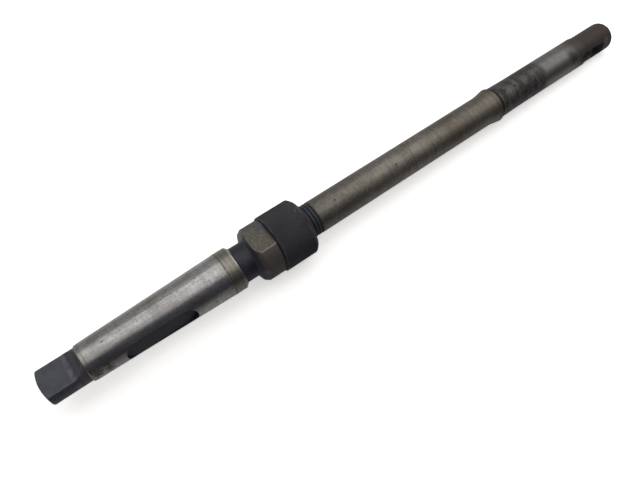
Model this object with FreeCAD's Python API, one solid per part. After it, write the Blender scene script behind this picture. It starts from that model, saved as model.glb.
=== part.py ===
import FreeCAD, Part
import math
import os

# A tapered-shank tool holder extension, in millimetres.
# The X axis is the tool's own axis. X = 0 is the gauge plane of the shank's taper,
# the tang lies at -X and the slotted nose at +X. The tang's two flats face +Z and -Z.

# Tapered shank: a No. 2 self-holding taper
GAUGE_DIAMETER = 17.78
TAPER_PER_MM = 0.04995
TAPER_LENGTH = 58.8
SHANK_COLLAR_LENGTH = 5.3
SHANK_COLLAR_CHAMFER = 0.9
GROUND_FROM_GAUGE = 0.8
COLLAR_STEP = 0.05
SMALL_END_LAND = 1.4
SMALL_END_STEP = 0.1
SMALL_END_CHAMFER = 0.4

# Tang that the spindle drives
TANG_LENGTH = 15.9
TANG_DIAMETER = 13.6
TANG_THICKNESS = 6.3
TANG_CUTTER_RADIUS = 6.0
TANG_DOME_HEIGHT = 1.3
TANG_RIM_RADIUS = 0.8

# Round-ended pocket milled into the taper, square to the tang's flats
POCKET_LENGTH = 28.7
POCKET_WIDTH = 9.0
POCKET_DEPTH = 1.7
POCKET_END_SHARE = 0.49
POCKET_FROM_GAUGE = 16.5

# Neck and wrench collar behind the taper
NECK_DIAMETER = 15.0
NECK_LENGTH = 5.7
CONE_LENGTH = 1.2
CONE_ROOT_RADIUS = 1.0
WRENCH_DIAMETER = 22.9
WRENCH_LENGTH = 8.6
WRENCH_BACK_LENGTH = 1.5
WRENCH_BACK_DEPTH = 1.0
WRENCH_FACE_CHAMFER = 0.4
WRENCH_ACROSS_FLATS = 19.8
WRENCH_FLAT_TURN = 4.0

# Thread that joins the bar to the shank, drawn as rings of the thread's pitch
THREAD_DIAMETER = 14.0
THREAD_PITCH = 1.5
THREAD_CREST_FLAT = 0.4
THREAD_DEPTH = 0.6
THREAD_CLEARANCE = 0.05
THREAD_BEYOND_NUT = 5.7
THREAD_TIP_CHAMFER = 1.0
SOCKET_DEPTH = 8.0
SOCKET_END_GAP = 0.3
SOCKET_MOUTH_CHAMFER = 0.5

# Knurled lock nut, tight against the wrench collar
NUT_DIAMETER = 24.2
NUT_LENGTH = 15.5
NUT_BACK_CHAMFER = 0.6
NUT_RIM_CHAMFER = 1.2
NUT_MOUTH_CHAMFER = 0.7

# Extension bar with its swollen lip and the spigot that takes the tool
BAR_DIAMETER = 14.0
BAR_LENGTH = 99.5
LIP_DIAMETER = 15.8
LIP_FLARE_LENGTH = 6.0
LIP_FLARE_RADIUS = 9.0
LIP_RIM_WIDTH = 0.6
LIP_RIM_CHAMFER = 0.2
LIP_SHOULDER_LENGTH = 0.4
SPIGOT_DIAMETER = 14.0
SPIGOT_LENGTH = 55.2
SPIGOT_ROOT_DIAMETER = 14.5
SPIGOT_ROOT_LENGTH = 12.0
NOSE_DIAMETER = 13.2
NOSE_LENGTH = 20.5
NOSE_STEP_LENGTH = 0.3
NOSE_RIM_RADIUS = 3.0

# Slot through the nose for a blade or key, parallel to the tang's flats
SLOT_WIDTH = 6.5
SLOT_LENGTH = 8.6
SLOT_FROM_NOSE_END = 7.9
SLOT_CORNER_RADIUS = 0.8

# Stations along the axis
SHOULDER_X = -TAPER_LENGTH
TANG_END_X = SHOULDER_X - TANG_LENGTH
NECK_START_X = SHANK_COLLAR_LENGTH
CONE_START_X = NECK_START_X + NECK_LENGTH
WRENCH_START_X = CONE_START_X + CONE_LENGTH
WRENCH_END_X = WRENCH_START_X + WRENCH_LENGTH
NUT_END_X = WRENCH_END_X + NUT_LENGTH
THREAD_START_X = WRENCH_END_X - SOCKET_DEPTH + SOCKET_END_GAP
THREAD_END_X = NUT_END_X + THREAD_BEYOND_NUT
LIP_X = THREAD_END_X + BAR_LENGTH
SPIGOT_X = LIP_X + LIP_SHOULDER_LENGTH
NOSE_X = SPIGOT_X + SPIGOT_LENGTH
NOSE_END_X = NOSE_X + NOSE_LENGTH

# Room that a cutting solid has beyond the surface that it cuts
CUT_MARGIN = 2.0
# How far the tang's stub reaches into the taper, so that the two join as one solid
ROOT_INSIDE_TAPER = 2.0
# Edges nearer than this to a place along the axis lie at it
SAME_PLACE = 0.05

AXIS_POINT = FreeCAD.Vector(0, 0, 0)
AXIS = FreeCAD.Vector(1, 0, 0)


def taper_radius(x):
    """Radius of the shank's taper at a place along the axis."""
    return (GAUGE_DIAMETER + TAPER_PER_MM * x) / 2


def point(x, radius):
    """A point of a turned outline, in the plane Y = 0."""
    return FreeCAD.Vector(x, 0, radius)


def corner_arc(before, corner, after, radius):
    """Start, middle and end of the arc that rounds one corner of an outline."""
    to_before = (before - corner).normalize()
    to_after = (after - corner).normalize()
    half_angle = to_before.getAngle(to_after) / 2
    reach = radius / math.tan(half_angle)
    bisector = (to_before + to_after).normalize()
    centre = corner + bisector * (radius / math.sin(half_angle))
    return corner + to_before * reach, centre - bisector * radius, corner + to_after * reach


def turned(corners):
    """Solid of revolution from a closed outline of (x, radius, rounding) corners."""
    points = [point(x, radius) for x, radius, rounding in corners]
    edges = []
    last = points[0]
    for index in range(1, len(points)):
        rounding = corners[index][2]
        if rounding > 0:
            after = points[(index + 1) % len(points)]
            start, middle, end = corner_arc(points[index - 1], points[index], after, rounding)
            edges.append(Part.LineSegment(last, start).toShape())
            edges.append(Part.Arc(start, middle, end).toShape())
            last = end
        else:
            edges.append(Part.LineSegment(last, points[index]).toShape())
            last = points[index]
    edges.append(Part.LineSegment(last, points[0]).toShape())
    return Part.Face(Part.Wire(edges)).revolve(AXIS_POINT, AXIS, 360)


def tang_end_ball():
    """Ball whose front rounds the end of the tang to a low dome."""
    rim = TANG_DIAMETER / 2
    radius = (rim * rim + TANG_DOME_HEIGHT * TANG_DOME_HEIGHT) / (2 * TANG_DOME_HEIGHT)
    return Part.makeSphere(radius, FreeCAD.Vector(TANG_END_X + radius, 0, 0))


def turned_tang():
    """Round stub with a domed end, before its flats are milled."""
    start = FreeCAD.Vector(TANG_END_X, 0, 0)
    length = TANG_LENGTH + ROOT_INSIDE_TAPER
    stub = Part.makeCylinder(TANG_DIAMETER / 2, length, start, AXIS)
    stub = stub.common(tang_end_ball())
    rims = [edge for edge in stub.Edges if is_ring_at(edge, TANG_END_X + TANG_DOME_HEIGHT)]
    return stub.makeFillet(TANG_RIM_RADIUS, rims)


def is_ring_at(edge, x):
    """Whether an edge is a circle square to the axis at a place along it."""
    box = edge.BoundBox
    return box.XLength < SAME_PLACE and abs(box.XMin - x) < SAME_PLACE and box.ZLength > SAME_PLACE


def tang_flat_cutter():
    """What the milling cutter sweeps away above the tang, with its round run-out."""
    flat = TANG_THICKNESS / 2
    rise = TANG_DIAMETER / 2 - flat
    run_out = math.sqrt(TANG_CUTTER_RADIUS ** 2 - (TANG_CUTTER_RADIUS - rise) ** 2)
    start_x = SHOULDER_X - run_out
    centre = point(start_x, flat + TANG_CUTTER_RADIUS)
    half_turn = math.atan2(run_out, TANG_CUTTER_RADIUS - rise) / 2
    middle_x = centre.x + TANG_CUTTER_RADIUS * math.sin(half_turn)
    middle = point(middle_x, centre.z - TANG_CUTTER_RADIUS * math.cos(half_turn))
    start = point(start_x, flat)
    end = point(SHOULDER_X, flat + rise)
    top = flat + rise + CUT_MARGIN
    outside = TANG_END_X - CUT_MARGIN
    edges = [
        Part.Arc(start, middle, end).toShape(),
        Part.LineSegment(end, point(SHOULDER_X, top)).toShape(),
        Part.LineSegment(point(SHOULDER_X, top), point(outside, top)).toShape(),
        Part.LineSegment(point(outside, top), point(outside, flat)).toShape(),
        Part.LineSegment(point(outside, flat), start).toShape(),
    ]
    half_width = TANG_DIAMETER / 2 + CUT_MARGIN
    face = Part.Face(Part.Wire(edges))
    face.translate(FreeCAD.Vector(0, -half_width, 0))
    return face.extrude(FreeCAD.Vector(0, 2 * half_width, 0))


def both_sides(cutter):
    """A cutter and the same one turned half a turn about the axis."""
    opposite = cutter.copy()
    opposite.rotate(AXIS_POINT, AXIS, 180)
    return [cutter, opposite]


def tang():
    """Flattened tang with a domed end."""
    return turned_tang().cut(both_sides(tang_flat_cutter()))


def turned_shank():
    """Taper, neck and wrench collar as they come off the lathe.

    Only the taper is ground. It lies between a land at the small end and the shank's collar.
    """
    neck = NECK_DIAMETER / 2
    wrench = WRENCH_DIAMETER / 2
    small_end_x = SHOULDER_X + SMALL_END_LAND
    small_end = taper_radius(small_end_x)
    land = small_end - SMALL_END_STEP
    large_end_x = -GROUND_FROM_GAUGE
    collar = GAUGE_DIAMETER / 2 + COLLAR_STEP
    return turned([
        (SHOULDER_X, 0, 0),
        (SHOULDER_X, land - SMALL_END_CHAMFER, 0),
        (SHOULDER_X + SMALL_END_CHAMFER, land, 0),
        (small_end_x, land, 0),
        (small_end_x, small_end, 0),
        (large_end_x, taper_radius(large_end_x), 0),
        (large_end_x, collar, 0),
        (NECK_START_X - SHANK_COLLAR_CHAMFER, collar, 0),
        (NECK_START_X, collar - SHANK_COLLAR_CHAMFER, 0),
        (NECK_START_X, neck, 0),
        (CONE_START_X, neck, CONE_ROOT_RADIUS),
        (WRENCH_START_X, wrench - WRENCH_BACK_DEPTH, 0),
        (WRENCH_START_X + WRENCH_BACK_LENGTH, wrench, 0),
        (WRENCH_END_X - WRENCH_FACE_CHAMFER, wrench, 0),
        (WRENCH_END_X, wrench - WRENCH_FACE_CHAMFER, 0),
        (WRENCH_END_X, 0, 0),
    ])


def threaded_socket():
    """The hole in the wrench collar that the bar's thread fills."""
    radius = THREAD_DIAMETER / 2 + THREAD_CLEARANCE
    mouth = radius + SOCKET_MOUTH_CHAMFER
    return turned([
        (WRENCH_END_X - SOCKET_DEPTH, 0, 0),
        (WRENCH_END_X - SOCKET_DEPTH, radius, 0),
        (WRENCH_END_X - SOCKET_MOUTH_CHAMFER, radius, 0),
        (WRENCH_END_X, mouth, 0),
        (WRENCH_END_X + CUT_MARGIN, mouth, 0),
        (WRENCH_END_X + CUT_MARGIN, 0, 0),
    ])


def rounded_prism(length, width, height, corner_radius):
    """Prism with its length along X, its height along Y and its four edges along Y rounded."""
    prism = Part.makeBox(length, height, width, FreeCAD.Vector(-length / 2, -height / 2, -width / 2))
    upright = [edge for edge in prism.Edges if edge.BoundBox.YLength > height / 2]
    return prism.makeFillet(corner_radius, upright)


def taper_pocket():
    """The shallow pocket on the taper's -Y side, as an end mill leaves it."""
    middle_x = -POCKET_FROM_GAUGE - POCKET_LENGTH / 2
    surface = taper_radius(middle_x)
    height = POCKET_DEPTH + CUT_MARGIN
    end_radius = POCKET_END_SHARE * POCKET_WIDTH
    pocket = rounded_prism(POCKET_LENGTH, POCKET_WIDTH, height, end_radius)
    pocket.translate(FreeCAD.Vector(middle_x, -(surface - POCKET_DEPTH) - height / 2, 0))
    return pocket


def wrench_flat_cutter():
    """What is milled off one side of the wrench collar."""
    width = WRENCH_DIAMETER + CUT_MARGIN
    flat = WRENCH_ACROSS_FLATS / 2
    length = WRENCH_END_X - NECK_START_X
    corner = FreeCAD.Vector(NECK_START_X, -width / 2, flat)
    cutter = Part.makeBox(length + CUT_MARGIN, width, WRENCH_DIAMETER / 2, corner)
    cutter.rotate(AXIS_POINT, AXIS, WRENCH_FLAT_TURN)
    return cutter


def taper_shank():
    """The shank in one piece, from the tang to the wrench collar."""
    shank = turned_shank().fuse(tang())
    return shank.cut([taper_pocket(), threaded_socket()] + both_sides(wrench_flat_cutter()))


def lock_nut():
    """Round nut that locks the bar, with its plain face against the wrench collar."""
    radius = NUT_DIAMETER / 2
    bore = THREAD_DIAMETER / 2 + THREAD_CLEARANCE
    mouth = bore + NUT_MOUTH_CHAMFER
    return turned([
        (WRENCH_END_X, bore, 0),
        (WRENCH_END_X, radius - NUT_BACK_CHAMFER, 0),
        (WRENCH_END_X + NUT_BACK_CHAMFER, radius, 0),
        (NUT_END_X - NUT_RIM_CHAMFER, radius, 0),
        (NUT_END_X, radius - NUT_RIM_CHAMFER, 0),
        (NUT_END_X, mouth, 0),
        (NUT_END_X - NUT_MOUTH_CHAMFER, bore, 0),
    ])


def thread_corners():
    """Outline of the thread where it shows: flat crests at the full diameter, V roots between.

    Inside the nut and the socket the thread is plain, at the diameter of its crests.
    """
    crest = THREAD_DIAMETER / 2
    root = crest - THREAD_DEPTH
    half_groove = (THREAD_PITCH - THREAD_CREST_FLAT) / 2
    first_root = NUT_END_X + half_groove
    turns = int((THREAD_BEYOND_NUT + THREAD_CREST_FLAT) / THREAD_PITCH)
    corners = []
    for turn in range(turns):
        x = first_root + turn * THREAD_PITCH
        corners.append((x - half_groove, crest, 0))
        corners.append((x, root, 0))
        corners.append((x + half_groove, crest, 0))
    return corners


def turned_bar():
    """Threaded end, bar, lip, spigot and nose as they come off the lathe."""
    thread = THREAD_DIAMETER / 2
    bar = BAR_DIAMETER / 2
    lip = LIP_DIAMETER / 2
    spigot = SPIGOT_DIAMETER / 2
    nose = NOSE_DIAMETER / 2
    tip = [
        (THREAD_START_X, 0, 0),
        (THREAD_START_X, thread - THREAD_TIP_CHAMFER, 0),
        (THREAD_START_X + THREAD_TIP_CHAMFER, thread, 0),
    ]
    body = [
        (THREAD_END_X, thread, 0),
        (THREAD_END_X + THREAD_PITCH / 2, bar, 0),
        (LIP_X - LIP_FLARE_LENGTH, bar, LIP_FLARE_RADIUS),
        (LIP_X - LIP_RIM_WIDTH, lip, 0),
        (LIP_X - LIP_RIM_CHAMFER, lip, 0),
        (LIP_X, lip - LIP_RIM_CHAMFER, 0),
        (SPIGOT_X, SPIGOT_ROOT_DIAMETER / 2, 0),
        (SPIGOT_X + SPIGOT_ROOT_LENGTH, spigot, 0),
        (NOSE_X, spigot, 0),
        (NOSE_X + NOSE_STEP_LENGTH, nose, 0),
        (NOSE_END_X, nose, NOSE_RIM_RADIUS),
        (NOSE_END_X, 0, 0),
    ]
    return turned(tip + thread_corners() + body)


def nose_slot():
    """The slot through the nose, along Y."""
    height = SPIGOT_DIAMETER + 2 * CUT_MARGIN
    slot = rounded_prism(SLOT_LENGTH, SLOT_WIDTH, height, SLOT_CORNER_RADIUS)
    slot.translate(FreeCAD.Vector(NOSE_END_X - SLOT_FROM_NOSE_END - SLOT_LENGTH / 2, 0, 0))
    return slot


def extension_bar():
    """The bar in one piece, from its thread to the slotted nose."""
    return turned_bar().cut(nose_slot())


def write(name, shape):
    """Check one piece and write its STEP file."""
    solid = shape.Solids[0]
    if len(shape.Solids) != 1 or not solid.isValid():
        raise ValueError(name + " is not one valid solid")
    solid.exportStep(os.path.join("parts", name + ".step"))
    print(name, round(solid.Volume, 1), solid.BoundBox)


def main():
    """Make every piece of the tool holder extension."""
    os.makedirs("parts", exist_ok=True)
    write("taper_shank", taper_shank())
    write("lock_nut", lock_nut())
    write("extension_bar", extension_bar())


main()
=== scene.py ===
import math

import bpy
import numpy as np
from mathutils import Matrix, Vector


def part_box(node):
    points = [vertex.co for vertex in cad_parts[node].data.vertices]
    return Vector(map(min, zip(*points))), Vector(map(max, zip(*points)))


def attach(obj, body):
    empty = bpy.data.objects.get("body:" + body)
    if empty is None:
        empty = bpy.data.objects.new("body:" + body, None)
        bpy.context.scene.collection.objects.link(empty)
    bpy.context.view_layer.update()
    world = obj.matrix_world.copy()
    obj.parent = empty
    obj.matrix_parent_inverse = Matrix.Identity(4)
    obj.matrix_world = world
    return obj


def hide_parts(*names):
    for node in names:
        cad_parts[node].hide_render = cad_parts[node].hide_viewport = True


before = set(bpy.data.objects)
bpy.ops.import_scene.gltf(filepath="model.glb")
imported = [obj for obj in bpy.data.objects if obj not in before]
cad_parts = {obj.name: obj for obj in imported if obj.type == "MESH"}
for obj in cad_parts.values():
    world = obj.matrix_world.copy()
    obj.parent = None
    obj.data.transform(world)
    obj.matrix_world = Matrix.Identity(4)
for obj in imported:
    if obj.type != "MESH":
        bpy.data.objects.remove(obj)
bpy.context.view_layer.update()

bl_info = {
    "name": "Tool holder extension",
    "version": (1, 0, 0),
    "blender": (4, 5, 0),
    "location": "3D View > Sidebar > Tool extension",
    "description": "Finishes the steel of a tool holder extension and knurls its lock nut",
    "category": "Object",
}

MM = 0.001
NUT_LOW, NUT_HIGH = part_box("lock_nut")

# Places along the axis, in millimetres from the gauge plane
TANG_END = -74.7
TANG_BAND_START, TANG_BAND_END = -63.8, -62.9
RUN_OUT = -61.2
SHOULDER = -58.8
GROUND_START = -57.4
POCKET_START, POCKET_END = -45.2, -16.5
GROUND_END = -0.8
NECK_START = 5.3
CONE_START = 11.0
WRENCH_START = 12.2
BAR_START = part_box("extension_bar")[0].x / MM
WRENCH_EDGE = 13.7
NUT_START = 20.8
NUT_END = 36.3
THREAD_END = 42.0
LIP = 141.5
SPIGOT = 141.9
BRUISES_END = 168.0
SEAT_START, SEAT_END = 168.5, 193.0
NOSE = 197.1
SLOT_START, SLOT_END = 201.1, 209.7
NOSE_END = 217.6

# Sizes that the finishes and the knurled nut follow, in millimetres
GAUGE_RADIUS = 8.89
TAPER_SLOPE = 0.024975
FLAT_LEVEL = 9.9
FLAT_HALF_WIDTH = 5.75
FLAT_TURN = math.radians(4)
NUT_RADIUS = NUT_HIGH.y / MM
NUT_BORE = 7.05
NUT_BACK_CHAMFER = 0.6
NUT_RIM_CHAMFER = 1.2
NUT_MOUTH_CHAMFER = 0.7
NOSE_RADIUS = 6.6


def linear(hex_colour):
    """Linear colour of an sRGB hex value such as 8a8578."""
    parts = [int(hex_colour[i:i + 2], 16) / 255 for i in (0, 2, 4)]
    return [p / 12.92 if p <= 0.04045 else ((p + 0.055) / 1.055) ** 2.4 for p in parts]


def colour_setting(name, description, hex_colour):
    """A colour that the user can change."""
    return bpy.props.FloatVectorProperty(
        name=name, description=description, subtype="COLOR", default=linear(hex_colour))


class StageSettings(bpy.types.PropertyGroup):
    """Floor and lights."""

    floor_colour: colour_setting("Floor colour", "Matt paper that the tool lies on", "f4f3f1")
    floor_size: bpy.props.FloatProperty(
        name="Floor size", description="Side of the square floor", unit="LENGTH", default=6.0)
    floor_glow: bpy.props.FloatProperty(
        name="Floor glow", description="Light that the paper gives of itself", default=0.6)
    key_power: bpy.props.FloatProperty(
        name="Overhead light", description="Power of the large soft light above", subtype="POWER",
        default=3.9)
    strip_power: bpy.props.FloatProperty(
        name="Strip light", description="Power of the narrow light that draws the bright line",
        subtype="POWER", default=0.3)


class SteelSettings(bpy.types.PropertyGroup):
    """Colours of the tool's finishes."""

    ground: colour_setting("Ground steel", "The ground taper", "a09e9c")
    ground_dull: colour_setting("Dull ground steel", "Clouds on the taper", "86827e")
    collar: colour_setting("Collar", "Warmer steel of the collar and the land", "87837b")
    tang: colour_setting("Tang", "Rubbed scale of the tang", "4c4d53")
    black: colour_setting("Black scale", "Neck of the shank", "252530")
    worn_black: colour_setting("Worn black", "Where the scale has been rubbed", "3b3b48")
    pocket: colour_setting("Pocket", "Bottom of the milled pocket", "24252d")
    rust: colour_setting("Rust", "Thin brown rust", "3f2a1c")
    wrench_flat: colour_setting("Wrench flat", "Milled flats with an oily film", "53504a")
    wrench_round: colour_setting("Wrench collar", "Brown round of the wrench collar", "514a45")
    nut: colour_setting("Lock nut", "Blackened steel of the lock nut", "28262d")
    nut_crests: colour_setting("Knurl crests", "Crests that hands have rubbed", "444249")
    thread: colour_setting("Thread", "Blackened thread beside the nut", "403f46")
    bar: colour_setting("Bar", "Brown-grey patina of the bar", "737069")
    bar_dark: colour_setting("Dark bar", "Darker rings and clouds on the bar", "5a5651")
    bar_warm: colour_setting("Warm bar", "Golden grey near the lip", "746f63")
    stain: colour_setting("Stain", "Dark stain on the spigot", "3a3532")
    bruise: colour_setting("Bruise", "Pale patches in the stain", "636160")
    polished: colour_setting("Polished spigot", "Where tools have sat", "777673")
    nose: colour_setting("Nose", "Brown-grey nose", "423c37")


class KnurlSettings(bpy.types.PropertyGroup):
    """Knurl of the lock nut."""

    pitch: bpy.props.FloatProperty(
        name="Knurl pitch", description="Distance from ridge to ridge round the nut",
        unit="LENGTH", default=0.9 * MM)
    depth: bpy.props.FloatProperty(
        name="Knurl depth", description="How deep the grooves are", unit="LENGTH",
        default=0.2 * MM)
    lead_angle: bpy.props.FloatProperty(
        name="Knurl angle", description="Slant of the grooves to the nut's axis",
        subtype="ANGLE", unit="ROTATION", default=math.radians(30))
    worn_share: bpy.props.FloatProperty(
        name="Worn crests", description="Share of each ridge that is worn flat",
        subtype="FACTOR", default=0.3, min=0.0, max=0.9)


def add(tree, kind, settings, inputs):
    """Add a node with its settings, and its inputs by name or number as values or sockets."""
    node = tree.nodes.new(kind)
    for name, value in settings.items():
        setattr(node, name, value)
    for name, value in inputs.items():
        if isinstance(value, bpy.types.NodeSocket):
            tree.links.new(value, node.inputs[name])
        else:
            node.inputs[name].default_value = value
    return node


def new_material(name):
    """An empty material, its node tree and the object's coordinates in millimetres."""
    material = bpy.data.materials.new(name)
    material.use_nodes = True
    tree = material.node_tree
    tree.nodes.clear()
    place = add(tree, "ShaderNodeTexCoord", {}, {})
    scaled = add(tree, "ShaderNodeVectorMath", {"operation": "SCALE"},
                 {0: place.outputs["Object"], "Scale": 1 / MM})
    return material, tree, scaled.outputs[0]


def stretched(tree, place, along, across):
    """A place scaled along the axis and across it, which stretches what is drawn there."""
    scaled = add(tree, "ShaderNodeVectorMath", {"operation": "MULTIPLY"},
                 {0: place, 1: (along, across, across)})
    return scaled.outputs[0]


def turned_place(tree, place):
    """Place along the axis and distance from the axis."""
    axes = add(tree, "ShaderNodeSeparateXYZ", {}, {0: place})
    radius = add(tree, "ShaderNodeVectorMath", {"operation": "LENGTH"},
                 {0: stretched(tree, place, 0.0, 1.0)})
    return axes.outputs[0], radius.outputs["Value"]


def weighted_sum(tree, *terms):
    """Sum of patterns, each times its weight."""
    total = 0.0
    for pattern, weight in terms:
        total = add(tree, "ShaderNodeMath", {"operation": "MULTIPLY_ADD"},
                    {0: pattern, 1: weight, 2: total}).outputs[0]
    return total


def product(tree, *shares):
    """Share where several shares hold together: their product."""
    total = shares[0]
    for share in shares[1:]:
        total = add(tree, "ShaderNodeMath", {"operation": "MULTIPLY"},
                    {0: total, 1: share}).outputs[0]
    return total


def rise(tree, value, low, high):
    """Share that rises smoothly from 0 at low to 1 at high, or falls where low is the larger."""
    share = add(tree, "ShaderNodeMapRange", {"interpolation_type": "SMOOTHSTEP"}, {
        "Value": value, "From Min": min(low, high), "From Max": max(low, high),
        "To Min": float(low > high), "To Max": float(low < high)})
    return share.outputs[0]


def clouds(tree, where, size, low, high, seed):
    """Patches of a size in millimetres: noise that rises from 0 at low to 1 at high.

    Another seed gives other patches.
    """
    noise = add(tree, "ShaderNodeTexNoise", {"noise_dimensions": "4D"}, {
        "Vector": where, "W": seed, "Scale": 1 / size, "Detail": 3.0, "Roughness": 0.55})
    return rise(tree, noise.outputs[0], low, high)


def near(tree, where, centre, reach, fade, fray=0.0):
    """Share that is 1 within reach of a point and 0 from reach and fade on, in millimetres.

    A noise of about 1 mm moves the edge in and out by up to half of fray.
    """
    gap = add(tree, "ShaderNodeVectorMath", {"operation": "DISTANCE"},
              {0: where, 1: centre}).outputs["Value"]
    if fray:
        noise = add(tree, "ShaderNodeTexNoise", {"noise_dimensions": "4D"}, {
            "Vector": where, "W": centre[0], "Scale": 0.9, "Detail": 3.0})
        gap = weighted_sum(tree, (gap, 1.0), (noise.outputs[0], fray), (1.0, -fray / 2))
    return rise(tree, gap, reach + fade, reach)


def ramp(tree, value, stops):
    """Share or colour that changes with a value, from (value, share or colour) stops in order."""
    low, high = stops[0][0], stops[-1][0]
    share = add(tree, "ShaderNodeMapRange", {}, {
        "Value": value, "From Min": low, "From Max": high, "To Min": 0.0, "To Max": 1.0})
    node = add(tree, "ShaderNodeValToRGB", {}, {0: share.outputs[0]})
    elements = node.color_ramp.elements
    while len(elements) > 1:
        elements.remove(elements[0])
    for index, (stop, colour) in enumerate(stops):
        at = (stop - low) / (high - low)
        element = elements[0] if index == 0 else elements.new(at)
        element.position = at
        element.color = as_colour(colour)
    return node.outputs[0]


def zone(tree, x, low, high, fade=0.05):
    """Share that is 1 between two places along the axis and fades to 0 outside them."""
    return ramp(tree, x, [(low - fade, 0.0), (low, 1.0), (high, 1.0), (high + fade, 0.0)])


def as_colour(value):
    """A socket as it is, and a number or a three-part colour with all four parts."""
    if isinstance(value, bpy.types.NodeSocket):
        return value
    if isinstance(value, float):
        return (value, value, value, 1.0)
    return (*value, 1.0)


def laid_over(tree, finish, *layers):
    """A finish with layers laid over it in order, each one a finish and the share it covers.

    A finish is a colour, a roughness, a share of bare metal and a height in millimetres. What
    an upper finish doesn't name shows through from below.
    """
    for upper, share in layers:
        mixed = dict(finish)
        for trait, value in upper.items():
            # A colour mix has its two colours at inputs 6 and 7, and their mix at output 2
            mix = add(tree, "ShaderNodeMix", {"data_type": "RGBA"},
                      {0: share, 6: as_colour(finish[trait]), 7: as_colour(value)})
            mixed[trait] = mix.outputs[2]
        finish = mixed
    return finish


def marked(tree, finish, place, mark, spots, fray, share):
    """A finish with a mark laid over it at each spot, given as centre, reach and fade."""
    for centre, reach, fade in spots:
        spot = product(tree, near(tree, place, centre, reach, fade, fray), share)
        finish = laid_over(tree, finish, (mark, spot))
    return finish


def ring_stops(rings):
    """Stops of narrow rings, each given as its start, middle, end and share."""
    return [stop for start, middle, end, share in rings
            for stop in ((start, 0.0), (middle, share), (end, 0.0))]


def finish_steel(tree, finish):
    """The metal shader that shows a finish, and the output."""
    bump = add(tree, "ShaderNodeBump", {},
               {"Strength": 1.0, "Distance": MM, "Height": finish["height"]})
    shader = add(tree, "ShaderNodeBsdfPrincipled", {}, {
        "Base Color": as_colour(finish["colour"]), "Metallic": finish["metal"],
        "Roughness": finish["roughness"], "Normal": bump.outputs[0]})
    add(tree, "ShaderNodeOutputMaterial", {}, {"Surface": shader.outputs[0]})


# Finishes of the shank that come and go along it, as (place in millimetres, share)
TAPER_POLISH = [(-58.0, 0.3), (-52.0, 0.0), (-35.0, 0.1), (-14.0, 0.8), (0.0, 0.7)]
TURNED_LANDS = [
    (SHOULDER, 0.6), (GROUND_START - 0.1, 0.6), (GROUND_START + 0.2, 0.0), (-3.0, 0.0),
    (GROUND_END, 0.5), (0.0, 1.0), (NECK_START - 0.1, 1.0), (NECK_START, 0.0)]
RUST_LINES = [
    (-57.3, 0.0), (-57.1, 0.4), (-56.9, 0.4), (-56.7, 0.0), (-0.5, 0.0), (-0.3, 1.0),
    (-0.1, 1.0), (0.1, 0.0), (1.6, 0.0), (1.8, 0.3), (2.0, 0.0), (3.2, 0.0), (3.4, 0.25),
    (3.6, 0.0)]

# Worn rings of the collar: start, middle, end and share
COLLAR_RINGS = [(0.8, 1.1, 1.5, 0.7), (2.6, 2.9, 3.3, 0.6), (3.3, 3.6, 3.9, 0.4)]

# Marks on the shank: centre, reach and fade in millimetres
TAPER_STAINS = [((-55.9, -7.4, 1.2), 0.9, 1.5), ((-51.6, -7.2, 2.6), 0.3, 1.4),
                ((-51.7, -7.5, 0.6), 0.6, 1.5), ((-49.4, -1.0, 7.6), 0.1, 0.9)]
BLUE_SPOT = ((18.8, 3.4, 10.1), 0.7, 2.0)
# Painted highlight: a pale grey spot on the -y side of the wrench collar's chamfer
GREY_HIGHLIGHT_SPOT = ((12.9, -10.7, 1.6), 0.4, 1.8)
RUST_SPOT = ((12.3, -6.0, 9.4), 0.3, 0.5)

# Painted reflection on the +y side of the wrench collar's chamfer, as (place across the flats,
# share)
CHAMFER_REFLECTION = [(4.0, 0.0), (5.4, 1.0), (8.5, 0.9), (11.5, 0.0)]


def black_scale(tree, place, steel):
    """Steel left black by hardening: dull, slightly uneven and rubbed paler in patches."""
    height = weighted_sum(tree, (clouds(tree, place, 0.9, 0.1, 0.9, 1.0), 0.02),
                          (clouds(tree, place, 4.0, 0.1, 0.9, 2.0), 0.04))
    scale = {"colour": steel.black, "roughness": 0.5, "metal": 0.35, "height": height}
    rubbed = {"colour": steel.worn_black, "roughness": 0.42}
    patches = clouds(tree, place, 3.5, 0.42, 0.85, 3.0)
    return laid_over(tree, scale, (rubbed, product(tree, patches, 0.6)))


def tang_scale(tree, finish, place, x, steel):
    """Tang: the scale rubbed grey by its socket, with a paler band and a brown run-out."""
    rubbed = {"colour": steel.tang, "roughness": 0.52, "metal": 0.5}
    dark = {"colour": linear("3c3d43")}
    pale = {"colour": linear("69686e")}
    brown = {"colour": linear("5f5a5b"), "metal": 0.6}
    tang = zone(tree, x, TANG_END - 1, SHOULDER - 1.2, 1.0)
    band = zone(tree, x, TANG_BAND_START, TANG_BAND_END, 0.8)
    run_out = zone(tree, x, RUN_OUT, SHOULDER, 0.5)
    return laid_over(
        tree, finish, (rubbed, tang),
        (dark, product(tree, tang, clouds(tree, place, 2.5, 0.35, 0.7, 13.0), 0.6)),
        (pale, product(tree, band, clouds(tree, place, 2.0, 0.3, 0.6, 14.0), 0.7)),
        (brown, product(tree, run_out, 0.7)))


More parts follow.
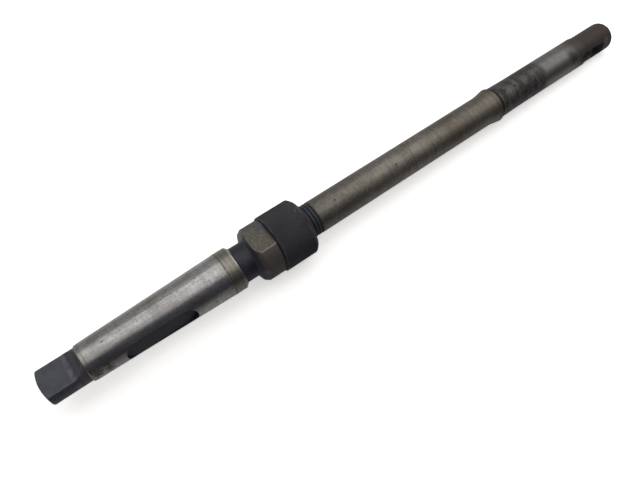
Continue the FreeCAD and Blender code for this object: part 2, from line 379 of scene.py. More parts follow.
def ground_steel(tree, place, x, steel):
    """Ground taper: grey with clouds of dull film, fine rings from the wheel and long rubs.

    The rings are 0.05 mm apart on the real taper, and 0.4 mm or more here, so that they show.
    """
    ring = stretched(tree, place, 1.0, 0.02)
    rub = stretched(tree, place, 0.06, 1.0)
    height = weighted_sum(tree, (clouds(tree, ring, 0.4, 0.2, 0.8, 4.0), 0.004),
                          (clouds(tree, place, 1.2, 0.2, 0.8, 5.0), 0.004))
    ground = {"colour": steel.ground, "roughness": 0.28, "metal": 1.0, "height": height}
    bright = {"colour": linear("b3b1b1"), "roughness": 0.26}
    dull = {"colour": steel.ground_dull, "roughness": 0.34}
    streak = {"colour": linear("c6c5c9"), "roughness": 0.24}
    grain = {"colour": linear("6f6b66")}
    speck = {"colour": linear("57504a")}
    return laid_over(
        tree, ground, (bright, ramp(tree, x, TAPER_POLISH)),
        (dull, product(tree, clouds(tree, place, 8.0, 0.42, 0.68, 6.0), 0.6)),
        (dull, product(tree, clouds(tree, ring, 1.3, 0.4, 0.7, 15.0), 0.45)),
        (dull, product(tree, clouds(tree, rub, 0.7, 0.4, 0.7, 16.0), 0.6)),
        (streak, product(tree, clouds(tree, rub, 1.0, 0.5, 0.66, 47.0), 0.25)),
        (grain, product(tree, clouds(tree, place, 0.8, 0.48, 0.66, 7.0), 0.5)),
        (speck, product(tree, clouds(tree, place, 1.1, 0.66, 0.76, 17.0), 0.6)))


def turned_lands(tree, finish, place, x, bare, steel):
    """Turned collar and land at the taper's ends: warmer, ringed, flecked and rusty."""
    warm = {"colour": steel.collar, "roughness": 0.36}
    olive = {"colour": linear("6a6557"), "roughness": 0.4}
    bright = {"colour": linear("b8b5ac")}
    rust = {"colour": steel.rust, "roughness": 0.5, "metal": 0.7}
    turned = product(tree, ramp(tree, x, TURNED_LANDS), bare)
    rings = ramp(tree, x, ring_stops(COLLAR_RINGS))
    rim = zone(tree, x, NECK_START - 1.1, NECK_START - 0.7, 0.15)
    wobble = weighted_sum(tree, (x, 1.0), (clouds(tree, place, 1.6, 0.1, 0.9, 8.0), 0.3))
    lines = ramp(tree, wobble, RUST_LINES)
    return laid_over(
        tree, finish, (warm, turned),
        (olive, product(tree, rings, clouds(tree, place, 1.5, 0.2, 0.6, 19.0))),
        (olive, product(tree, turned, clouds(tree, place, 0.8, 0.5, 0.7, 20.0), 0.6)),
        (bright, product(tree, rim, clouds(tree, place, 2.0, 0.3, 0.6, 25.0))),
        (rust, product(tree, lines, clouds(tree, place, 1.5, 0.15, 0.6, 9.0))))


def shank_material(steel):
    """Tool steel, black from hardening and then ground where it has to fit its socket.

    The ground part mirrors the lights in soft bands, while the scale stays dull and dark.
    """
    material, tree, place = new_material("ground_tool_steel")
    x, radius = turned_place(tree, place)
    dark_floor = {"colour": steel.pocket, "roughness": 0.6, "metal": 0.2}
    stain = {"colour": linear("403b37"), "roughness": 0.5}
    below_taper = weighted_sum(tree, (x, TAPER_SLOPE), (radius, -1.0), (1.0, GAUGE_RADIUS))
    pocket = product(tree, zone(tree, x, POCKET_START - 0.2, POCKET_END + 0.2),
                     rise(tree, below_taper, 0.12, 0.22))
    bare = product(tree, zone(tree, x, SHOULDER + 0.05, NECK_START - 0.1),
                   weighted_sum(tree, (pocket, -1.0), (1.0, 1.0)))
    finish = tang_scale(tree, black_scale(tree, place, steel), place, x, steel)
    finish = laid_over(tree, finish, (dark_floor, pocket),
                       (ground_steel(tree, place, x, steel), bare))
    finish = turned_lands(tree, finish, place, x, bare, steel)
    broken = product(tree, clouds(tree, place, 1.3, 0.2, 0.65, 48.0), 0.85)
    finish = marked(tree, finish, place, stain, TAPER_STAINS, 3.0, broken)
    finish = wrench_collar(tree, finish, place, x, steel)
    finish_steel(tree, finish)
    return material


def wrench_collar(tree, finish, place, x, steel):
    """Wrench collar over the black steel: a dull cone, a brown round and two milled flats.

    Level is the place turned so that the flats lie level. Folded is the same with all its parts
    made positive, so that one test finds both flats.
    """
    cone = {"colour": linear("43434b"), "roughness": 0.55}
    brown = {"colour": steel.wrench_round, "roughness": 0.6, "metal": 0.3}
    rust = {"colour": steel.rust, "roughness": 0.7, "metal": 0.2}
    level = add(tree, "ShaderNodeMapping", {},
                {"Vector": place, "Rotation": (-FLAT_TURN, 0, 0)}).outputs[0]
    folded = add(tree, "ShaderNodeVectorMath", {"operation": "ABSOLUTE"}, {0: level}).outputs[0]
    collar = zone(tree, x, WRENCH_START - 0.3, NUT_START + 1)
    finish = laid_over(
        tree, finish, (cone, zone(tree, x, CONE_START, WRENCH_START + 0.8, 0.5)),
        (brown, zone(tree, x, WRENCH_START + 0.6, NUT_START + 1, 0.4)))
    finish = milled_flats(tree, finish, place, folded, collar, steel)
    finish = laid_over(tree, finish, (
        rust, product(tree, collar, clouds(tree, place, 1.1, 0.6, 0.72, 12.0), 0.7)))
    return corner_wear_and_highlights(tree, finish, place, x, level, folded, steel)


def milled_flats(tree, finish, place, folded, collar, steel):
    """Flats of the wrench collar: milled grey-brown, with an oily film and dim patches."""
    flat = {"colour": steel.wrench_flat, "roughness": 0.5, "metal": 0.6}
    film = {"colour": linear("625c52")}
    dim = {"colour": linear("3e3b38")}
    height = add(tree, "ShaderNodeSeparateXYZ", {}, {0: folded}).outputs[2]
    milled = product(tree, collar, rise(tree, height, FLAT_LEVEL + 0.04, FLAT_LEVEL + 0.01),
                     rise(tree, height, FLAT_LEVEL - 0.04, FLAT_LEVEL - 0.01))
    return laid_over(
        tree, finish, (flat, milled),
        (film, product(tree, milled, clouds(tree, place, 1.2, 0.42, 0.64, 11.0))),
        (dim, product(tree, milled, clouds(tree, place, 0.9, 0.5, 0.75, 18.0), 0.7)))


def corner_wear_and_highlights(tree, finish, place, x, level, folded, steel):
    """Corners of the wrench collar: a worn crease drawn brighter on the -y side as a painted
    highlight, a painted reflection and a painted highlight spot on the chamfer, and the marks
    near them.
    """
    # Worn steel, which on the -y crease also stands in for a painted highlight
    worn = {"colour": linear("7d786c"), "roughness": 0.42, "metal": 0.9}
    # Colour of the painted reflection on the chamfer
    pale = {"colour": linear("75716b"), "metal": 0.6}
    blue = {"colour": linear("454651")}
    # Colour of the painted highlight spot
    grey = {"colour": linear("606269")}
    rust = {"colour": steel.rust}
    across = add(tree, "ShaderNodeSeparateXYZ", {}, {0: level}).outputs[1]
    edge = near(tree, stretched(tree, folded, 0.0, 1.0), (0, FLAT_HALF_WIDTH, FLAT_LEVEL),
                0.1, 0.35)
    # The crease on the -y side only: real wear, drawn pale as a painted highlight
    crease = product(tree, edge, zone(tree, x, WRENCH_EDGE - 0.6, NUT_START + 1, 0.4),
                     rise(tree, across, 1.0, -1.0))
    # Painted reflection on the +y side of the chamfer
    chamfer = product(tree, zone(tree, x, WRENCH_START - 0.8, WRENCH_EDGE - 0.3, 0.3),
                      ramp(tree, across, CHAMFER_REFLECTION))
    return laid_over(
        tree, finish, (worn, crease),
        (blue, product(tree, near(tree, place, *BLUE_SPOT, 1.6), 0.7)),
        (pale, product(tree, chamfer, clouds(tree, place, 1.6, 0.15, 0.5, 26.0))),
        (grey, product(tree, near(tree, place, *GREY_HIGHLIGHT_SPOT, 1.2), 0.8)),
        (rust, near(tree, place, *RUST_SPOT, 0.5)))


# Worn rims of the lock nut, as (place, radius), and its marks: centre, reach and fade
NUT_RIMS = [(NUT_START + NUT_BACK_CHAMFER, NUT_RADIUS), (NUT_END - NUT_RIM_CHAMFER, NUT_RADIUS),
            (NUT_END, NUT_RADIUS - NUT_RIM_CHAMFER)]
NUT_NICKS = [((33.6, -0.2, 12.1), 0.2, 0.6), ((34.3, 0.8, 12.0), 0.1, 0.5)]
NUT_RUST = ((34.7, -5.7, 10.7), 0.4, 1.1)


def nut_material(steel):
    """Knurled and blackened steel: a dull black whose worn crests and rims catch the light."""
    material, tree, place = new_material("blackened_knurled_steel")
    x, radius = turned_place(tree, place)
    outline = add(tree, "ShaderNodeCombineXYZ", {}, {0: x, 1: radius}).outputs[0]
    height = weighted_sum(tree, (clouds(tree, place, 0.5, 0.1, 0.9, 21.0), 0.02))
    black = {"colour": steel.nut, "roughness": 0.55, "metal": 0.3, "height": height}
    brownish = {"colour": linear("302d2d")}
    rubbed = {"colour": steel.nut_crests, "roughness": 0.45}
    worn = {"colour": linear("4c4b50"), "roughness": 0.45, "metal": 0.5}
    rust = {"colour": linear("3b2b25"), "roughness": 0.7}
    crests = rise(tree, radius, NUT_RADIUS - 0.04, NUT_RADIUS)
    finish = laid_over(
        tree, black, (brownish, clouds(tree, place, 3.0, 0.5, 0.8, 22.0)),
        (rubbed, product(tree, crests, clouds(tree, place, 2.0, 0.2, 0.7, 23.0))))
    patches = clouds(tree, place, 1.5, 0.35, 0.6, 24.0)
    for rim_x, rim_radius in NUT_RIMS:
        rim = near(tree, outline, (rim_x, rim_radius, 0), 0.1, 0.3)
        finish = laid_over(tree, finish, (worn, product(tree, rim, patches)))
    finish = marked(tree, finish, place, worn, NUT_NICKS, 0.4, 1.0)
    finish = marked(tree, finish, place, rust, [NUT_RUST], 0.8, 0.8)
    finish_steel(tree, finish)
    return material


# Finishes of the bar that come and go along it, as (place in millimetres, share)
PALE_LENGTH = [(THREAD_END, 0.1), (60.0, 0.25), (74.0, 0.8), (98.0, 0.9), (112.0, 0.0)]
WARM_END = [(THREAD_END, 0.0), (90.0, 0.3), (112.0, 0.5), (131.0, 0.7), (LIP - 0.5, 0.9),
            (LIP, 0.0)]
TURNING_MARKS = [(THREAD_END, 0.25), (85.0, 0.55), (141.0, 0.65), (SPIGOT, 0.3)]
BROWN_TINGE = [
    (111.0, 0.0), (112.4, 0.5), (113.6, 0.2), (114.9, 0.7), (115.6, 0.3), (116.5, 0.7),
    (117.2, 0.3), (118.1, 0.5), (119.5, 0.0)]
BROWN_LIP = [(138.6, 0.0), (140.3, 0.35), (LIP - 0.4, 0.4), (SPIGOT + 0.5, 0.0)]
# Painted shade: a dark line on the lip's edge and the spigot's root just beyond it
LIP_PAINTED_SHADE = [(LIP - 0.7, 0.0), (LIP - 0.3, 1.0), (SPIGOT + 0.5, 1.0), (SPIGOT + 1.1, 0.0)]
STAINED = [
    (LIP - 0.1, 0.0), (LIP, 1.0), (SEAT_START, 1.0), (171.5, 0.0), (189.0, 0.1), (SEAT_END, 0.7),
    (NOSE, 0.8), (NOSE + 0.4, 0.0)]
POLISHED_SEAT = [
    (SEAT_START, 0.0), (172.0, 0.8), (176.0, 1.0), (185.0, 1.0), (190.0, 0.2), (SEAT_END, 0.0)]

# Dark rings on the bar: start, middle, end and share
BAR_RINGS = [(90.3, 90.8, 91.3, 0.5), (101.2, 101.7, 102.4, 0.5), (121.0, 121.3, 121.7, 0.5),
             (124.3, 124.7, 125.0, 0.6), (126.6, 126.9, 127.2, 0.6), (129.2, 129.4, 129.7, 0.5),
             (130.9, 131.1, 131.5, 0.5)]

# Marks on the bar, the spigot and the nose: centre, reach and fade in millimetres
PALE_BRUISES = [((149.5, -2.6, 6.6), 0.9, 2.4), ((158.7, -1.3, 6.9), 1.0, 2.4),
                ((165.0, -0.7, 7.0), 0.5, 2.0)]
DARK_MARKS = [((51.2, -2.4, 6.6), 0.15, 0.5), ((82.1, -3.4, 6.1), 0.2, 0.7),
              ((145.5, -1.3, 7.1), 0.6, 2.0), ((154.9, -3.7, 6.0), 0.4, 1.8)]
SMUDGES = [((169.1, -2.9, 6.4), 0.3, 2.4), ((188.4, -3.8, 5.9), 0.3, 3.2),
           ((189.2, -5.6, 4.2), 0.5, 3.0)]
PALE_TIP = ((212.0, -5.4, 3.0), 0.8, 2.0)
RED_TIP = ((213.0, -0.5, 6.0), 1.5, 4.0)

# Dark tint beside the slot, twice as long as it is wide, so its place along the axis is halved
TINT = ((99.0, -6.5, 0.9), 2.0, 0.9)


def patina(tree, place, x, steel):
    """Plain length of the bar: brown-grey, mottled, with turned rings and a golden end.

    The turning marks are 0.1 mm apart on the real bar, and 0.5 mm or more here, so that they
    show.
    """
    ring = stretched(tree, place, 1.0, 0.03)
    rub = stretched(tree, place, 0.12, 1.0)
    height = weighted_sum(tree, (clouds(tree, ring, 0.5, 0.2, 0.8, 31.0), 0.006),
                          (clouds(tree, place, 1.5, 0.2, 0.8, 32.0), 0.01))
    brown_grey = {"colour": steel.bar, "roughness": 0.47, "metal": 0.95, "height": height}
    dark = {"colour": steel.bar_dark, "roughness": 0.5}
    pale = {"colour": linear("8b867d")}
    warm = {"colour": steel.bar_warm}
    pink = {"colour": linear("75625f")}
    green = {"colour": linear("7f8270")}
    grain = {"colour": linear("4b4742")}
    ringed = {"colour": linear("48433d")}
    brown = {"colour": linear("5f4c40")}
    length = ramp(tree, x, PALE_LENGTH)
    turning = ramp(tree, x, TURNING_MARKS)
    rings = ramp(tree, x, ring_stops(BAR_RINGS))
    tinge = ramp(tree, x, BROWN_TINGE)
    return laid_over(
        tree, brown_grey,
        (dark, product(tree, clouds(tree, place, 7.0, 0.38, 0.68, 33.0), 0.6)),
        (dark, product(tree, clouds(tree, place, 1.8, 0.42, 0.7, 38.0), 0.7)),
        (dark, product(tree, clouds(tree, rub, 0.9, 0.45, 0.72, 39.0), 0.4)),
        (pale, product(tree, length, clouds(tree, place, 4.0, 0.2, 0.6, 42.0))),
        (warm, ramp(tree, x, WARM_END)),
        (pink, product(tree, clouds(tree, place, 1.6, 0.5, 0.66, 43.0), 0.5)),
        (green, product(tree, clouds(tree, place, 1.4, 0.52, 0.68, 45.0), 0.5)),
        (grain, product(tree, clouds(tree, place, 0.8, 0.5, 0.66, 46.0), 0.4)),
        (dark, product(tree, clouds(tree, ring, 1.1, 0.45, 0.75, 34.0), turning)),
        (ringed, product(tree, rings, clouds(tree, place, 3.0, 0.3, 0.6, 40.0))),
        (brown, product(tree, tinge, clouds(tree, place, 3.0, 0.25, 0.65, 44.0))))


def spigot_finish(tree, finish, place, x, steel):
    """Spigot: a dark stained length with paler bruises, then the polished seat of the tools."""
    stain = {"colour": steel.stain, "roughness": 0.55, "metal": 0.65}
    bruise = {"colour": steel.bruise, "roughness": 0.5, "metal": 0.85}
    spot = {"colour": linear("2f2b2a")}
    fleck = {"colour": linear("7a7877")}
    polished = {"colour": steel.polished, "roughness": 0.44, "metal": 1.0}
    dull = {"colour": linear("64615e"), "roughness": 0.45}
    band = stretched(tree, place, 1.0, 0.5)
    bruised = zone(tree, x, SPIGOT + 1, BRUISES_END, 2.0)
    finish = laid_over(
        tree, finish, (stain, ramp(tree, x, STAINED)),
        (bruise, product(tree, bruised, clouds(tree, band, 2.6, 0.38, 0.66, 35.0), 0.75)),
        (spot, product(tree, bruised, clouds(tree, place, 1.1, 0.5, 0.64, 49.0), 0.6)),
        (fleck, product(tree, bruised, clouds(tree, place, 0.9, 0.56, 0.68, 50.0), 0.5)))
    finish = marked(tree, finish, place, bruise, PALE_BRUISES, 2.4, 0.5)
    seat = ramp(tree, x, POLISHED_SEAT)
    return laid_over(
        tree, finish, (polished, seat),
        (dull, product(tree, seat, clouds(tree, place, 2.5, 0.4, 0.7, 41.0), 0.5)))


def nose_finish(tree, finish, place, x, steel):
    """Nose: dull and dark, with a reddish top and a paler side near its end."""
    nose = {"colour": steel.nose, "roughness": 0.6, "metal": 0.5}
    stain = {"colour": steel.stain, "roughness": 0.6}
    pale = {"colour": linear("6a635c")}
    red = {"colour": linear("4a362f")}
    end = zone(tree, x, NOSE + 0.3, NOSE_END + 1, 0.2)
    return laid_over(
        tree, finish, (nose, end),
        (stain, product(tree, end, clouds(tree, place, 2.0, 0.4, 0.7, 36.0), 0.7)),
        (pale, product(tree, near(tree, place, *PALE_TIP, 1.2), 0.7)),
        (red, product(tree, near(tree, place, *RED_TIP, 2.0), 0.7)))


def thread_finish(tree, finish, place, x, steel):
    """Thread: blackened, with a broken brown edge where the bare bar begins."""
    black = {"colour": steel.thread, "roughness": 0.55, "metal": 0.4}
    brown = {"colour": linear("3a2d28"), "roughness": 0.6, "metal": 0.5}
    edge = zone(tree, x, THREAD_END - 0.8, THREAD_END + 0.2, 0.5)
    return laid_over(
        tree, finish, (black, zone(tree, x, BAR_START - 1, THREAD_END - 0.7, 0.5)),
        (brown, product(tree, edge, clouds(tree, place, 1.4, 0.4, 0.55, 37.0), 0.7)))


def lip_finish(tree, finish, x):
    """Lip: browned as it swells, with painted shade as a dark line along its edge and the
    spigot's root.
    """
    brown = {"colour": linear("63503f")}
    # Colour of the painted shade at the lip
    dark = {"colour": linear("211b18"), "roughness": 0.6, "metal": 0.6}
    return laid_over(tree, finish, (brown, ramp(tree, x, BROWN_LIP)),
                     (dark, ramp(tree, x, LIP_PAINTED_SHADE)))


def slot_finish(tree, finish, place, x, radius):
    """Slot: black inside, partly blackened steel and partly painted shade of the recess, with a
    dark purple tint beside it and a painted highlight as a paler edge within the tint.
    """
    purple = {"colour": linear("1d1923"), "roughness": 0.5, "metal": 1.0}
    # Colour of the painted highlight at the slot's near end
    pale = {"colour": linear("4b4543")}
    # Black and matt: partly blackened steel and partly painted shade of the slot's walls
    black = {"colour": linear("38353a"), "roughness": 0.8, "metal": 0.0}
    tint = near(tree, stretched(tree, place, 0.5, 1.0), *TINT, 0.9)
    # Painted highlight: a pale band just before the slot's start, within the tint
    edge = zone(tree, x, SLOT_START - 0.45, SLOT_START, 0.15)
    # The slot's walls below the nose's surface, painted black, partly as painted shade
    inside = product(tree, zone(tree, x, SLOT_START - 0.1, SLOT_END + 0.1),
                     rise(tree, radius, NOSE_RADIUS - 0.01, NOSE_RADIUS - 0.05))
    return laid_over(tree, finish, (purple, product(tree, tint, 0.9)),
                     (pale, product(tree, edge, tint, 0.6)), (black, inside))


def bar_material(steel):
    """Turned steel with a brown-grey patina: soft and mottled, and black in its slot, partly as
    painted shade.

    Where tools have sat it is polished, and mirrors the room more clearly.
    """
    material, tree, place = new_material("turned_patinated_steel")
    x, radius = turned_place(tree, place)
    dark_mark = {"colour": linear("2e2926"), "roughness": 0.6}
    smudge = {"colour": linear("45403b"), "roughness": 0.5}
    finish = patina(tree, place, x, steel)
    finish = spigot_finish(tree, finish, place, x, steel)
    finish = nose_finish(tree, finish, place, x, steel)
    finish = thread_finish(tree, finish, place, x, steel)
    finish = lip_finish(tree, finish, x)
    finish = slot_finish(tree, finish, place, x, radius)
    finish = marked(tree, finish, place, dark_mark, DARK_MARKS, 0.8, 0.7)
    finish = marked(tree, finish, place, smudge, SMUDGES, 1.6, 0.7)
    finish_steel(tree, finish)
    return material


def carried_over(node, material):
    """Give a node of the frame its material."""
    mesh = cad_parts[node].data
    mesh.materials.clear()
    mesh.materials.append(material)


def closed_surface(name, points):
    """Mesh of a grid of points that closes on itself in both directions.

    points has the shape (rows, columns, 3). Each cell of the grid is one four-sided face.
    """
    rows, columns = points.shape[:2]
    index = np.arange(rows * columns).reshape(rows, columns)
    after = np.roll(index, -1, axis=0)
    faces = np.stack([index, after, np.roll(after, -1, axis=1), np.roll(index, -1, axis=1)], -1)
    mesh = bpy.data.meshes.new(name)
    mesh.from_pydata(points.reshape(-1, 3), [], faces.reshape(-1, 4))
    mesh.update()
    piece = bpy.data.objects.new(name, mesh)
    bpy.context.scene.collection.objects.link(piece)
    return piece


class TOOLEXT_OT_stage(bpy.types.Operator):
    """Lay the pale floor, hang the soft lights and set the camera"""

    bl_idname = "toolext.stage"
    bl_label = "Stage"

    def execute(self, context):
        scene = context.scene
        settings = scene.toolext_stage
        scene.view_settings.view_transform = "Standard"
        make_floor(settings)
        make_lights(settings)
        make_world(scene)
        make_camera(scene)
        return {"FINISHED"}


# The tool lies on two rings: the nut's far rim and the nose's end, as (place, radius)
NUT_CONTACT = (NUT_END - NUT_RIM_CHAMFER, NUT_RADIUS)
NOSE_CONTACT = (214.6, NOSE_RADIUS)

# Grey of the paper that the tool mirrors, as (place across the tool in millimetres, grey)
MIRRORED_PAPER = [
    (-150.0, 0.06), (-75.0, 0.12), (-25.0, 0.42), (-13.0, 0.8), (0.0, 0.85), (60.0, 0.85)]


def paper_material(settings):
    """Matt white paper, lit from below as well, so that the tool's shadow on it stays faint.

    The tool mirrors a duller paper that ends in the dark close to it on the near side, which
    gives its lower half the deep band and the grey edge of a small table in a dim room.
    """
    material, tree, place = new_material("matt_paper")
    axes = add(tree, "ShaderNodeSeparateXYZ", {}, {0: place})
    mirrored = add(tree, "ShaderNodeBsdfDiffuse", {},
                   {0: ramp(tree, axes.outputs[1], MIRRORED_PAPER)})
    seen = add(tree, "ShaderNodeBsdfPrincipled", {}, {
        "Base Color": (*settings.floor_colour, 1), "Roughness": 0.9,
        "Emission Color": (*settings.floor_colour, 1), "Emission Strength": settings.floor_glow})
    ray = add(tree, "ShaderNodeLightPath", {}, {})
    mix = add(tree, "ShaderNodeMixShader", {}, {
        0: ray.outputs["Is Camera Ray"], 1: mirrored.outputs[0], 2: seen.outputs[0]})
    add(tree, "ShaderNodeOutputMaterial", {}, {"Surface": mix.outputs[0]})
    return material


def make_floor(settings):
    """A square sheet tangent to the nut's rim and the nose's end, which the tool rests on."""
    run = NOSE_CONTACT[0] - NUT_CONTACT[0]
    slope = (NUT_CONTACT[1] - NOSE_CONTACT[1]) / run
    half = settings.floor_size / 2
    u, v = np.meshgrid([-half, half], [-half, half])
    z = -NUT_CONTACT[1] * MM + (u - NUT_CONTACT[0] * MM) * slope
    points = np.stack([u, v, z], -1).reshape(-1, 3)
    mesh = bpy.data.meshes.new("floor")
    mesh.from_pydata(points, [], [(0, 1, 3, 2)])
    mesh.materials.append(paper_material(settings))
    floor = bpy.data.objects.new("floor", mesh)
    bpy.context.scene.collection.objects.link(floor)


# Both lights are long in the tool's direction and face down, in metres
LIGHT_LENGTH = 1.5
OVERHEAD_WIDTH = 0.83
OVERHEAD_PLACE = (0.35, 0.015, 0.55)
STRIP_WIDTH = 0.06
STRIP_PLACE = (0.35, -0.02, 0.50)

# The room on the near side of the tool is dim and faintly blue, and on the far side pale. A
# window beyond the nose lights the near side of the bar, and the camera sees a plain backdrop.
# They are given as linear light.
DIM_SIDE = (0.068, 0.068, 0.088)
PALE_SIDE = (0.44, 0.44, 0.43)
WINDOW = (0.56, 0.56, 0.54)
BACKDROP = (0.74, 0.74, 0.73)

# Soft edges of the window: the direction's parts along the tool, across it and upwards
WINDOW_ALONG = (0.12, 0.38)
WINDOW_ACROSS = (0.0, -0.3)
WINDOW_UP = (0.25, 0.6)


def hang_light(name, power, width, place):
    """Rectangular area light at a place, facing straight down."""
    data = bpy.data.lights.new(name, "AREA")
    data.shape = "RECTANGLE"
    data.size, data.size_y = LIGHT_LENGTH, width
    data.energy = power
    light = bpy.data.objects.new(name, data)
    light.location = place
    light.visible_camera = False
    bpy.context.scene.collection.objects.link(light)


def make_lights(settings):
    """A broad soft light overhead and a narrow one below it."""
    hang_light("overhead", settings.key_power, OVERHEAD_WIDTH, OVERHEAD_PLACE)
    hang_light("strip", settings.strip_power, STRIP_WIDTH, STRIP_PLACE)


def make_world(scene):
    """A room that is dim on one side and has a window, and a plain backdrop for the camera."""
    world = bpy.data.worlds.new("studio")
    world.use_nodes = True
    scene.world = world
    tree = world.node_tree
    tree.nodes.clear()
    direction = add(tree, "ShaderNodeTexCoord", {}, {})
    axes = add(tree, "ShaderNodeSeparateXYZ", {}, {0: direction.outputs["Generated"]})
    along, across, up = axes.outputs
    room = ramp(tree, across, [
        (-1.0, DIM_SIDE), (0.0, DIM_SIDE), (0.5, PALE_SIDE), (1.0, PALE_SIDE)])
    window = product(tree, rise(tree, along, *WINDOW_ALONG), rise(tree, up, *WINDOW_UP),
                     rise(tree, across, *WINDOW_ACROSS))
    room = laid_over(tree, {"colour": room}, ({"colour": WINDOW}, window))["colour"]
    lit = add(tree, "ShaderNodeBackground", {}, {0: room, 1: 1.0})
    seen = add(tree, "ShaderNodeBackground", {}, {0: (*BACKDROP, 1), 1: 1.0})
    ray = add(tree, "ShaderNodeLightPath", {}, {})
    mix = add(tree, "ShaderNodeMixShader", {}, {
        0: ray.outputs["Is Camera Ray"], 1: lit.outputs[0], 2: seen.outputs[0]})
    add(tree, "ShaderNodeOutputWorld", {}, {"Surface": mix.outputs[0]})


# Camera that sees the tool as the photograph does, in the tool's own frame
CAMERA_PLACE = (-0.035294, -0.121725, 0.199021)
CAMERA_RIGHT = (0.7985, -0.6003, -0.0454)
CAMERA_UP = (0.5200, 0.6497, 0.5545)
FOCAL_PIXELS = 612.65
IMAGE_WIDTH = 639
SENSOR_WIDTH = 36.0


def make_camera(scene):
    """Camera at the photograph's viewing angle."""
    data = bpy.data.cameras.new("camera")
    data.sensor_width = SENSOR_WIDTH
    data.lens = FOCAL_PIXELS / IMAGE_WIDTH * SENSOR_WIDTH
    data.clip_start, data.clip_end = 0.01, 20
    camera = bpy.data.objects.new("camera", data)
    right = Vector(CAMERA_RIGHT).normalized()
    back = right.cross(Vector(CAMERA_UP)).normalized()
    up = back.cross(right)
    turn = Matrix((right, up, back)).transposed().to_4x4()
    camera.matrix_world = Matrix.Translation(CAMERA_PLACE) @ turn
    scene.collection.objects.link(camera)
    scene.camera = camera


class TOOLEXT_OT_shank_finish(bpy.types.Operator):
    """Grind the taper, blacken the rest of the shank and wear the wrench collar"""

    bl_idname = "toolext.shank_finish"
    bl_label = "Shank finish"

    def execute(self, context):
        carried_over("taper_shank", shank_material(context.scene.toolext_steel))
        return {"FINISHED"}


class TOOLEXT_OT_bar_finish(bpy.types.Operator):
    """Age the turned bar, its spigot and its nose"""

    bl_idname = "toolext.bar_finish"
    bl_label = "Bar finish"

    def execute(self, context):
        carried_over("extension_bar", bar_material(context.scene.toolext_steel))
        return {"FINISHED"}


# Points of the knurl's grid from one ridge to the next
POINTS_PER_RIDGE = 8

# How much the knurl's wear swings round the nut, how far each row turns the swing, and its start
WEAR_SWING = 0.5
WEAR_TURN_PER_ROW = 0.06
WEAR_START = 1.1


def knurl_depth(row, column, ridges, settings):
    """Depth of the worn diamond knurl at the rows and columns of its grid.

    Two families of V grooves cross. Each is a triangle wave of the column plus or minus the
    row, so that every ridge and groove lies on points of the grid. The lower of the two waves
    is the height, cut flat at the worn share, and the wear changes slowly round the nut.
    """
    first = np.abs((column + row) / POINTS_PER_RIDGE % 1 - 0.5) * 2
    second = np.abs((column - row) / POINTS_PER_RIDGE % 1 - 0.5) * 2
    turn = column / (ridges * POINTS_PER_RIDGE) * 2 * math.pi
    swing = np.sin(2 * turn + WEAR_TURN_PER_ROW * row + WEAR_START)
    wear = settings.worn_share * (1 + WEAR_SWING * swing)
    return settings.depth * np.clip(1 - wear - np.minimum(first, second), 0, 1)


def nut_outline(step):
    """Half section of the plain nut, as (place, radius) in metres, once round from the bore.

    Each chamfer is a straight slope at 45 degrees, and the knurled length has a point at each
    step. Points that stand in from a corner leave it slightly worn.
    """
    outer = NUT_RADIUS * MM
    start, end = NUT_LOW.x, NUT_HIGH.x
    bore, mouth = NUT_BORE * MM, NUT_MOUTH_CHAMFER * MM
    back, rim = NUT_BACK_CHAMFER * MM, NUT_RIM_CHAMFER * MM
    knurled = np.arange(start + back, end - rim, step)
    back_face = np.linspace((start, bore), (start, outer - back), 4)
    back_chamfer = np.linspace((start + 0.2 * back, outer - 0.8 * back),
                               (start + 0.95 * back, outer - 0.05 * back), 6)
    length = np.stack([knurled, np.full(knurled.size, outer)], -1)
    rim_chamfer = np.linspace((end - rim, outer), (end, outer - rim), 12)
    front_face = np.linspace((end, outer - rim - 0.2 * MM), (end, bore + mouth), 3)
    mouth_chamfer = np.linspace((end - 0.5 * mouth, bore + 0.5 * mouth), (end - mouth, bore), 2)
    return np.concatenate([
        back_face, back_chamfer, length, rim_chamfer, front_face, mouth_chamfer])


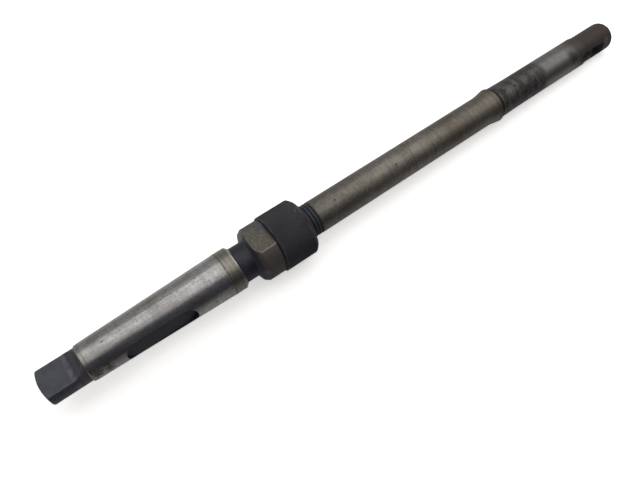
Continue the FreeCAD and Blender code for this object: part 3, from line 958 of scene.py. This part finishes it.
class TOOLEXT_OT_lock_nut(bpy.types.Operator):
    """Knurl the lock nut"""

    bl_idname = "toolext.lock_nut"
    bl_label = "Lock nut"

    def execute(self, context):
        settings = context.scene.toolext_knurl
        outer = NUT_RADIUS * MM
        ridges = round(2 * math.pi * outer / settings.pitch)
        columns = np.arange(ridges * POINTS_PER_RIDGE)
        step = settings.pitch / POINTS_PER_RIDGE / math.tan(settings.lead_angle)
        # Each point of the outline is carried round the axis, and cut back there by the knurl
        x, radius = np.hsplit(nut_outline(step), 2)
        row = (x - NUT_LOW.x - NUT_BACK_CHAMFER * MM) / step
        radius = np.minimum(radius, outer - knurl_depth(row, columns, ridges, settings))
        angle = columns / columns.size * 2 * math.pi
        points = np.stack([x + 0 * radius, radius * np.cos(angle), radius * np.sin(angle)], -1)
        nut = closed_surface("knurled_lock_nut", points[::-1])
        nut.data.materials.append(nut_material(context.scene.toolext_steel))
        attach(nut, "lock_nut")
        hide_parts("lock_nut")
        return {"FINISHED"}


class TOOLEXT_PT_panel(bpy.types.Panel):
    """Lists the steps that dress the tool"""

    bl_idname = "TOOLEXT_PT_panel"
    bl_label = "Tool extension"
    bl_space_type = "VIEW_3D"
    bl_region_type = "UI"
    bl_category = "Tool extension"

    def draw(self, context):
        for operator in OPERATORS:
            self.layout.operator(operator.bl_idname)


OPERATORS = (
    TOOLEXT_OT_stage,
    TOOLEXT_OT_shank_finish,
    TOOLEXT_OT_bar_finish,
    TOOLEXT_OT_lock_nut,
)
SETTINGS = {
    "toolext_stage": StageSettings,
    "toolext_steel": SteelSettings,
    "toolext_knurl": KnurlSettings,
}


def register():
    for settings in SETTINGS.values():
        bpy.utils.register_class(settings)
    for name, settings in SETTINGS.items():
        setattr(bpy.types.Scene, name, bpy.props.PointerProperty(type=settings))
    for shown in (*OPERATORS, TOOLEXT_PT_panel):
        bpy.utils.register_class(shown)


def unregister():
    for shown in (TOOLEXT_PT_panel, *reversed(OPERATORS)):
        bpy.utils.unregister_class(shown)
    for name, settings in SETTINGS.items():
        delattr(bpy.types.Scene, name)
        bpy.utils.unregister_class(settings)


def main():
    """Dress the tool."""
    register()
    for operator in OPERATORS:
        group, name = operator.bl_idname.split(".")
        getattr(getattr(bpy.ops, group), name)()


if __name__ == "__main__":
    main()
